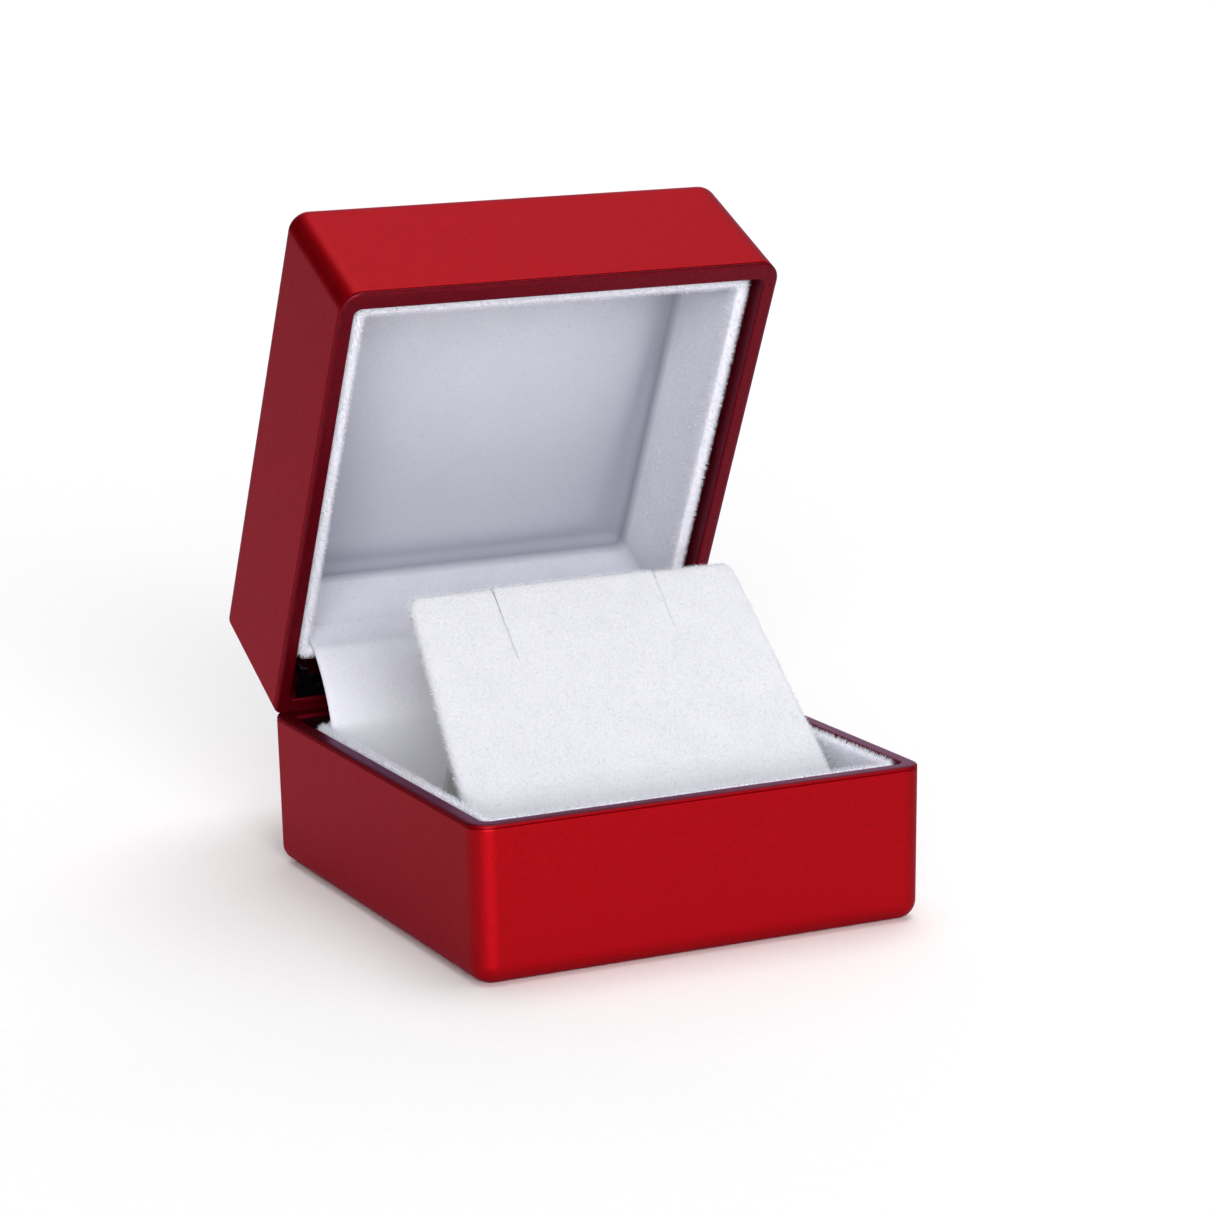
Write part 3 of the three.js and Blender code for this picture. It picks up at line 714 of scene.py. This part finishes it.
def swellPad(settings):
    # Cloth on a frame ten times the pad's size, blown out a little from behind: how far the
    # velvet stands off the board between its glued edges, from 0 to 1.
    columns, rows = settings["columns"], settings["rows"]
    points = [((i / (columns - 1) - 0.5) * settings["width"], (j / (rows - 1) - 0.5) * settings["height"], 0)
              for j in range(rows) for i in range(columns)]
    faces = [(j * columns + i, j * columns + i + 1, (j + 1) * columns + i + 1, (j + 1) * columns + i)
             for j in range(rows - 1) for i in range(columns - 1)]
    mesh = bpy.data.meshes.new("padCloth")
    mesh.from_pydata(points, [], faces)
    cloth = bpy.data.objects.new("padCloth", mesh)
    scene.collection.objects.link(cloth)
    held = cloth.vertex_groups.new(name="held")
    slits = [0.5 + slit["x"] * mm * settings["enlarged"] / settings["width"] for slit in pad["slits"]]
    nearSlit = 0.6 / (columns - 1)
    for number in range(len(points)):
        i, j = number % columns, number // columns
        onEdge = i in (0, columns - 1) or j in (0, rows - 1)
        besideSlit = any(abs(i / (columns - 1) - slit) < nearSlit for slit in slits)
        if onEdge or (besideSlit and j / (rows - 1) > settings["slitFrom"]):
            held.add([number], 1.0, "REPLACE")
    swell = cloth.modifiers.new("swell", "CLOTH")
    swell.settings.vertex_group_mass = "held"
    swell.settings.effector_weights.gravity = 0
    swell.settings.use_pressure = True
    swell.settings.uniform_pressure_force = settings["pressure"]
    swell.settings.tension_stiffness = settings["tension"]
    swell.settings.bending_stiffness = settings["bending"]
    swell.point_cache.frame_start = 1
    swell.point_cache.frame_end = settings["frames"]
    for number in range(1, settings["frames"] + 1):
        scene.frame_set(number)
    bakeModifiers(cloth)
    heights = [abs(v.co.z) for v in cloth.data.vertices]
    scene.frame_set(1)
    bpy.data.objects.remove(cloth)
    most = max(max(heights), 1e-6)
    print("pad cloth swelled, highest", round(most, 4))
    return [[min(heights[j * columns + i] / most, 1.0) for i in range(columns)] for j in range(rows)]


swelling = swellPad(padCloth)


def swellAt(acrossShare, alongShare):
    # Between the cloth's points, by straight lines.
    rows, columns = len(swelling), len(swelling[0])
    x = min(max(acrossShare, 0), 1) * (columns - 1)
    y = min(max(alongShare, 0), 1) * (rows - 1)
    i, j = min(int(x), columns - 2), min(int(y), rows - 2)
    fx, fy = x - i, y - j
    return ((swelling[j][i] * (1 - fx) + swelling[j][i + 1] * fx) * (1 - fy)
            + (swelling[j + 1][i] * (1 - fx) + swelling[j + 1][i + 1] * fx) * fy)


def slitHalfWidth(slit, fromTop):
    if fromTop >= slit["cut"]:
        return 0.0
    return 0.5 * pad["slitWidth"] * (1 - pad["slitClosing"] * (fromTop / slit["cut"]) ** 2)


def roundedDrop(radius, fromEdge):
    # How far a rounded edge has fallen, this far in from where it ends.
    return radius - math.sqrt(max(radius * radius - (radius - fromEdge) ** 2, 0))


def padHeight(u, s):
    # How far the velvet's face stands off the board's back at this place.
    half, full, corner = padHalf(s), pad["length"], pad["corner"]
    dx, dy = half - abs(u), full - s
    if dx < corner and dy < corner:
        edge = corner - math.hypot(corner - dx, corner - dy)
    else:
        edge = min(dx, dy)
    edge = min(edge, s + pad["bottomProud"])
    crown = swellAt(0.5 + 0.5 * u / half, s / full) - pad["crownLevel"]
    height = pad["thickness"] + pad["crown"] * crown
    height += uneven(Vector((u, s, 7.0)), pad["unevenness"], pad["unevenSize"])
    if edge < pad["roundOver"]:
        height -= roundedDrop(pad["roundOver"], max(edge, 0))
    for slit in pad["slits"]:
        fromTop = full - s
        beforeEnd = slit["length"] + pad["slitFade"] - fromTop
        if beforeEnd > 0:
            away = max(abs(u - slit["x"]) - slitHalfWidth(slit, fromTop), 0)
            fade = min(beforeEnd / (2 * pad["slitFade"]), 1)
            lip = slit["lip"] * fade
            if away < lip:
                height -= roundedDrop(lip, away)
            if fromTop >= slit["cut"]:
                height -= slit["dent"] * fade * math.exp(-(away / pad["dentWidth"]) ** 2)
    return height


def padTopEdge(u):
    # The top edge runs level and drops round each corner; the middle tab sits a little higher.
    inset = padHalf(pad["length"]) - abs(u)
    drop = roundedDrop(pad["corner"], max(inset, 0)) if inset < pad["corner"] else 0
    if abs(u) < pad["slits"][1]["x"]:
        drop -= pad["tabStep"]
    radius, reach = pad["mouthRadius"], pad["mouthReach"]
    for slit in pad["slits"]:
        away = abs(u - slit["x"])
        if away < reach:
            drop += radius - math.sqrt(max(radius * radius - (reach - away) ** 2 * 0.5, 0))
    return pad["length"] - drop


def padColumns():
    # The lines of points that run up the pad, in one list for each tab.
    half = pad["topHalf"]
    tabs = []
    stops = [-half, pad["slits"][0]["x"], pad["slits"][1]["x"], half]
    for left, right in zip(stops, stops[1:]):
        a = pad["sideSteps"] if left == -half else pad["slitSteps"]
        b = pad["sideSteps"] if right == half else pad["slitSteps"]
        first, last = left + a[-1], right - b[-1]
        count = max(int((last - first) / pad["fieldStep"]), 2)
        middle = [first + (last - first) * k / count for k in range(1, count)]
        tabs.append([left + d for d in a] + middle + [right - d for d in reversed(b)])
    return tabs


def padRows():
    # The lines of points that run across the pad, from its lower edge up.
    full, count = pad["length"], pad["fieldRows"]
    first, top = pad["bottomSteps"], pad["topSteps"]
    middle = [first[-1] + (full - (first[-1] + top[-1])) * k / count for k in range(1, count)]
    return first + middle + [full - d for d in reversed(top)]


def makePadCover():
    # Three tabs at the top and one field below them, drawn as one closed skin. The outer tabs
    # widen towards the bottom, and the back is narrower than the face by the taper.
    tabs, alongs = padColumns(), padRows()
    full = pad["length"]
    straight = pad["slits"][1]["x"] + pad["slitSteps"][-1]
    points, faces, lookup = [], [], {}

    def vertex(tab, column, row, isBack):
        u0, s0 = tabs[tab][column], alongs[row]
        atSlit = (tab > 0 and column == 0) or (tab < 2 and column == len(tabs[tab]) - 1)
        number = tab if column == 0 else tab + 1
        opening = slitHalfWidth(pad["slits"][number - 1], full - s0) if atSlit else 0.0
        key = ("slit", number, row, isBack) if atSlit and opening == 0 else (tab, column, row, isBack)
        if key in lookup:
            return lookup[key]
        u = u0
        if abs(u0) > straight:
            share = (abs(u0) - straight) / (pad["topHalf"] - straight)
            u = math.copysign(straight + share * (padHalf(s0) - straight), u0)
        if isBack and abs(u) > straight:
            u -= math.copysign(pad["taper"] * (abs(u) - straight) / (padHalf(s0) - straight), u)
        u += opening * (1 if column == 0 else -1)
        s = s0
        if s0 > full * 0.5:
            s = s0 + (padTopEdge(u0) - full) * ((s0 - full * 0.5) / (full * 0.5)) ** 3
        height = pad["back"] if isBack else max(padHeight(u, s0), pad["back"] + pad["leastThickness"])
        lookup[key] = len(points)
        points.append(onPad(u, s, height))
        return lookup[key]

    last = len(alongs) - 1
    for tab, columns in enumerate(tabs):
        for column in range(len(columns) - 1):
            for row in range(last):
                for isBack in (False, True):
                    corners = [vertex(tab, column, row, isBack), vertex(tab, column + 1, row, isBack),
                               vertex(tab, column + 1, row + 1, isBack), vertex(tab, column, row + 1, isBack)]
                    faces.append(corners[::-1] if isBack else corners)
            for row in (0, last):
                faces.append([vertex(tab, column, row, False), vertex(tab, column + 1, row, False),
                              vertex(tab, column + 1, row, True), vertex(tab, column, row, True)])
        for column in (0, len(columns) - 1):
            isOuter = (tab == 0 and column == 0) or (tab == 2 and column > 0)
            number = tab if column == 0 else tab + 1
            for row in range(last):
                # Below the end of a slit there is no side wall, because the tabs join.
                if isOuter or slitHalfWidth(pad["slits"][number - 1], full - alongs[row + 1]) > 0:
                    faces.append([vertex(tab, column, row, False), vertex(tab, column, row + 1, False),
                                  vertex(tab, column, row + 1, True), vertex(tab, column, row, True)])
    return meshPiece("padCover", points, faces, padVelvet, 75)


padCover = makePadCover()
standsFor(padCover, "pad", "white_velvet", "pad_cover", "pad_foam")
print("pad made")


# A flocked strip that hides the hinge, glued inside both liners' back walls. Its lower part,
# down in the base, is painted brighter: painted light.
flap = {
    "topHalf": 29.3, "lowHalf": 30.0, "low": 11.0, "high": 5.0, "lowLap": 0.9, "highLap": 0.4,
    "lowRoom": 0.3, "highRoom": 0.6, "handle": 3.0, "thickness": 0.7, "thinEnd": 0.2, "thinSide": 0.35,
    # The last two settings on the next line set the painted light on the strip's lower part.
    "across": 90, "along": 34, "bulge": 0.3, "bulgeSize": 9, "lowPaintedLight": 1.0, "paintedLightFade": 1.5,
}


def flapLine():
    # The strip's middle line: its glued ends, and the free part between them with the handles
    # of its curve.
    lidLip = box["lidPlane"] + liners["lidRecess"]
    lowY = liners["baseRear"] - liners["wall"] - flap["lowRoom"]
    highY = liners["lidRear"] - liners["wall"] - flap["highRoom"]
    a = Vector((0, lowY, liners["baseTop"] - flap["low"]))
    b = Vector((0, lowY, liners["baseTop"] - flap["lowLap"]))
    c = openLid(Vector((0, highY, lidLip + flap["highLap"])))
    d = openLid(Vector((0, highY, lidLip + flap["high"])))
    lowHandle = b + (b - a).normalized() * flap["handle"]
    highHandle = c - (d - c).normalized() * flap["handle"]
    return a, b, lowHandle, highHandle, c, d


def makeFlap(route):
    a, b, lowHandle, highHandle, c, d = route
    steps = flap["along"]
    line = [a, a.lerp(b, 0.5)]
    for k in range(steps + 1):
        t = k / steps
        line.append((1 - t) ** 3 * b + 3 * (1 - t) ** 2 * t * lowHandle
                    + 3 * (1 - t) * t * t * highHandle + t ** 3 * c)
    line += [c.lerp(d, 0.5), d]
    rings, length = [], 0
    for k, p in enumerate(line):
        before, after = line[max(k - 1, 0)], line[min(k + 1, len(line) - 1)]
        way = (after - before).normalized()
        side = Vector((0, -way.z, way.y))
        length += (line[k] - line[k - 1]).length if k else 0
        free = 1 - min(abs(k - len(line) / 2) / (len(line) / 2), 1)
        share = k / (len(line) - 1)
        half = flap["lowHalf"] + (flap["topHalf"] - flap["lowHalf"]) * share
        thick = flap["thickness"] / 2 * min(1, flap["thinEnd"] + 5 * min(share, 1 - share))
        ring = []
        for face in (1, -1):
            for i in range(flap["across"] + 1):
                x = (2 * i / flap["across"] - 1) * half * face
                wave = noise.noise(Vector((x / flap["bulgeSize"], 0.4 * free, 3.0)))
                edge = thick * (flap["thinSide"] if i in (0, flap["across"]) else 1)
                q = p + side * (edge * face + free * flap["bulge"] * wave)
                ring.append(Vector((x, q.y, q.z)))
        rings.append(ring)
    print("flap length mm", round(length, 2))
    strip = loft("hingeFlap", rings, lidFlockPaintedDarker, sharp=80)
    bottom, top = line[0].z * mm, line[-1].z * mm
    rises = [(v.co.z - bottom) / (top - bottom) for v in strip.data.vertices]
    # Painted light: brightest at the strip's lower end, fading upwards
    setPaintedShadeAndHighlight(strip, [-flap["lowPaintedLight"] * max(1 - rise, 0) ** flap["paintedLightFade"] for rise in rises])
    return strip, length


flapRoute = flapLine()
hingeFlap, flapLength = makeFlap(flapRoute)
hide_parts("hinge_flap")
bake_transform(hingeFlap)
print("hinge flap made")


# Single fibres that stand up from the velvet and the liners: length and radius in millimetres,
# and a lean in radians to either side. They are thicker than real ones, so that they show.
pile = {"length": 0.45, "radius": 0.032, "lean": 0.7, "shortest": 0.55, "longest": 1.2}


def makePileTree():
    tree = bpy.data.node_groups.new("flockPile", "GeometryNodeTree")
    face = tree.interface
    face.new_socket("Surface", in_out="INPUT", socket_type="NodeSocketGeometry")
    for name, kind in (("Fibres per square metre", "NodeSocketFloat"), ("Fibre length", "NodeSocketFloat"),
                       ("Fibre radius", "NodeSocketFloat"), ("Lean", "NodeSocketFloat"),
                       ("Seed", "NodeSocketInt"), ("Fibre material", "NodeSocketMaterial")):
        face.new_socket(name, in_out="INPUT", socket_type=kind)
    face.new_socket("Pile", in_out="OUTPUT", socket_type="NodeSocketGeometry")
    start = addNode(tree, "NodeGroupInput").outputs
    share = addNode(tree, "GeometryNodeInputNamedAttribute", {"data_type": "FLOAT", "Name": "pileShare"})
    density = addNode(tree, "ShaderNodeMath", {"operation": "MULTIPLY"},
                      {0: start["Fibres per square metre"], 1: share.outputs[0]})
    spots = addNode(tree, "GeometryNodeDistributePointsOnFaces", {"distribute_method": "RANDOM"}, {
        "Mesh": start["Surface"], "Density": density.outputs[0], "Seed": start["Seed"]})
    thread = addNode(tree, "GeometryNodeMeshCone", {"Vertices": 3, "Radius Top": 0.0}, {
        "Radius Bottom": start["Fibre radius"], "Depth": start["Fibre length"]})
    backLean = addNode(tree, "ShaderNodeMath", {"operation": "MULTIPLY", 1: -1.0}, {0: start["Lean"]})
    low = addNode(tree, "ShaderNodeCombineXYZ", {"Z": 0.0}, {
        "X": backLean.outputs[0], "Y": backLean.outputs[0]})
    high = addNode(tree, "ShaderNodeCombineXYZ", {"Z": 6.28}, {"X": start["Lean"], "Y": start["Lean"]})
    angles = addNode(tree, "FunctionNodeRandomValue", {"data_type": "FLOAT_VECTOR"}, {
        0: low.outputs[0], 1: high.outputs[0], "Seed": start["Seed"]})
    tilt = addNode(tree, "FunctionNodeEulerToRotation", {}, {0: angles.outputs[0]})
    turn = addNode(tree, "FunctionNodeRotateRotation", {"rotation_space": "LOCAL"}, {
        0: spots.outputs["Rotation"], 1: tilt.outputs[0]})
    size = addNode(tree, "FunctionNodeRandomValue", {
        "data_type": "FLOAT", 2: pile["shortest"], 3: pile["longest"]}, {"Seed": start["Seed"]})
    threads = addNode(tree, "GeometryNodeInstanceOnPoints", {}, {
        "Points": spots.outputs["Points"], "Instance": thread.outputs["Mesh"], "Rotation": turn.outputs[0],
        "Scale": size.outputs[1]})
    real = addNode(tree, "GeometryNodeRealizeInstances", {}, {"Geometry": threads.outputs["Instances"]})
    dressed = addNode(tree, "GeometryNodeSetMaterial", {}, {
        "Geometry": real.outputs["Geometry"], "Material": start["Fibre material"]})
    addNode(tree, "NodeGroupOutput", {}, {0: dressed.outputs["Geometry"]})
    return tree


pileTree = makePileTree()


def growPile(name, surface, body, shareAt, perSquareMm, longer, seed):
    # shareAt says how much of the full density each vertex of the surface carries.
    mesh = surface.data.copy()
    place = mesh.attributes.new("pileShare", "FLOAT", "POINT")
    place.data.foreach_set("value", [shareAt(v) for v in mesh.vertices])
    piece = bpy.data.objects.new(name, mesh)
    scene.collection.objects.link(piece)
    grow = piece.modifiers.new("pile", "NODES")
    grow.node_group = pileTree
    values = {
        "Fibres per square metre": perSquareMm * 1e6, "Fibre length": pile["length"] * longer * mm,
        "Fibre radius": pile["radius"] * mm, "Lean": pile["lean"], "Seed": seed, "Fibre material": fibre}
    for socket in pileTree.interface.items_tree:
        if socket.item_type == "SOCKET" and socket.name in values:
            grow[socket.identifier] = values[socket.name]
    bakeModifiers(piece)
    print(name, len(piece.data.polygons), "faces")
    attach(piece, body)


# Where the pile grows: all round the pad's edges and thinner on its face, full along each
# liner's lip, and sparse on the upper part of the liners' inner walls.
padPile = {"faceLimit": 0.97, "edgeLimit": 0.2, "sideLimit": -0.3, "face": 0.42, "side": 0.8}
baseLinerPile = {"lip": 1.6, "inset": 0.9, "front": -34.2, "limit": 8, "inside": 0.15}
lidLinerPile = {"lip": 1.5, "inset": 1.2, "front": -33, "limit": 40, "inside": 0.05}


def padShare(vertex):
    a = math.radians(pad["angle"])
    facing = vertex.normal.dot(Vector((0, -math.sin(a), math.cos(a))))
    if facing >= padPile["faceLimit"]:
        return padPile["face"]
    if facing > padPile["edgeLimit"]:
        return 1.0
    return padPile["side"] if facing > padPile["sideLimit"] else 0.0


def isInsideLiner(p, settings, size):
    inset = settings["inset"]
    return abs(p.x) < size["half"] - inset and settings["front"] < p.y < size["rear"] - inset


def baseLinerShare(vertex):
    p = vertex.co / mm
    if p.z > liners["baseTop"] - baseLinerPile["lip"]:
        return 1.0
    isInside = isInsideLiner(p, baseLinerPile, linerSizes(False))
    return baseLinerPile["inside"] if isInside and p.z > baseLinerPile["limit"] else 0.0


def lidLinerShare(vertex):
    p = shutLid(vertex.co / mm)
    if p.z < box["lidPlane"] + liners["lidRecess"] + lidLinerPile["lip"]:
        return 1.0
    isInside = isInsideLiner(p, lidLinerPile, linerSizes(True))
    return lidLinerPile["inside"] if isInside and p.z < lidLinerPile["limit"] else 0.0


growPile("padPile", padCover, "pad", padShare, perSquareMm=16, longer=1.0, seed=11)
growPile("baseLinerPile", baseLiner, "base", baseLinerShare, perSquareMm=26, longer=1.6, seed=23)
growPile("lidLinerPile", lidLiner, "lid", lidLinerShare, perSquareMm=30, longer=1.3, seed=35)


def dress(material, *nodes):
    # Gives the parts that are kept as they are their finish.
    for name in nodes:
        mesh = frame["nodes"][name].data
        mesh.materials.clear()
        mesh.materials.append(material)


dress(steel, "hinge_leaf_base", "hinge_leaf_lid", "hinge_pin", "rivet_base_left", "rivet_base_right",
      "rivet_lid_left", "rivet_lid_right", "hinge_spring_left", "hinge_spring_right")
dress(baseFlockPaintedLighter, "insert_floor_card")
dress(card, "pad_board", "pad_strut")
print("kept parts dressed")


# A very broad sun stands in for a big softbox far away: no fall-off and soft shadows. The world
# is white all round, dimmer at the left and behind.
studio = {
    "floorSize": 40.0, "floorDark": "fbfbfc", "floorLight": "ffffff", "floorTooth": 2.0,
    "worldLow": 0.03, "worldHigh": 0.3, "worldFrom": -0.8, "worldTo": 0.7,
    "brightSide": (0.75, -0.55, 0.35),
    "suns": {
        "frontSoftbox": {"towards": (-0.27, -0.94, 0.2), "spread": 46, "strength": 4.2},
        "topSoftbox": {"towards": (0.14, 0.10, 0.98), "spread": 50, "strength": 1.4},
        "rearFill": {"towards": (0.45, 0.8, 0.4), "spread": 60, "strength": 0.8},
    },
}


def addFloor():
    size = studio["floorSize"] / 2
    mesh = bpy.data.meshes.new("paleFloor")
    corners = [(-size, -size, 0), (size, -size, 0), (size, size, 0), (-size, size, 0)]
    mesh.from_pydata(corners, [], [(0, 1, 2, 3)])
    material, tree, place = newMaterial("paleMattPaper")
    tooth = addNode(tree, "ShaderNodeTexNoise", {
        "Scale": perMetre(studio["floorTooth"]), "Detail": 2.0}, {"Vector": place})
    colour = addNode(tree, "ShaderNodeMix", {
        "data_type": "RGBA", 6: linearColour(studio["floorDark"]), 7: linearColour(studio["floorLight"])},
        {0: tooth.outputs["Fac"]})
    finishMaterial(tree, {"Roughness": 0.95, "Specular IOR Level": 0.2}, {"Base Color": colour.outputs[2]})
    mesh.materials.append(material)
    floor = bpy.data.objects.new("paleFloor", mesh)
    scene.collection.objects.link(floor)


def addSoftSun(name, towards, spread, strength):
    data = bpy.data.lights.new(name, "SUN")
    data.energy = strength
    data.angle = math.radians(spread)
    light = bpy.data.objects.new(name, data)
    scene.collection.objects.link(light)
    light.rotation_euler = Vector(towards).to_track_quat("Z", "Y").to_euler()


def addWorld():
    world = bpy.data.worlds.new("softWhiteStudio")
    world.use_nodes = True
    tree = world.node_tree
    tree.nodes.clear()
    way = addNode(tree, "ShaderNodeTexCoord").outputs["Generated"]
    side = addNode(tree, "ShaderNodeVectorMath", {
        "operation": "DOT_PRODUCT", 1: studio["brightSide"]}, {0: way})
    level = addNode(tree, "ShaderNodeMapRange", {
        "From Min": studio["worldFrom"], "From Max": studio["worldTo"],
        "To Min": studio["worldLow"], "To Max": studio["worldHigh"]}, {"Value": side.outputs["Value"]})
    background = addNode(tree, "ShaderNodeBackground", {"Color": (1.0, 1.0, 1.0, 1.0)},
                         {"Strength": level.outputs["Result"]})
    addNode(tree, "ShaderNodeOutputWorld", {}, {"Surface": background.outputs["Background"]})
    scene.world = world


addFloor()
addWorld()
for sunName, sun in studio["suns"].items():
    addSoftSun(sunName, **sun)
scene.view_settings.view_transform = "Standard"
scene.view_settings.look = "None"
print("studio set")
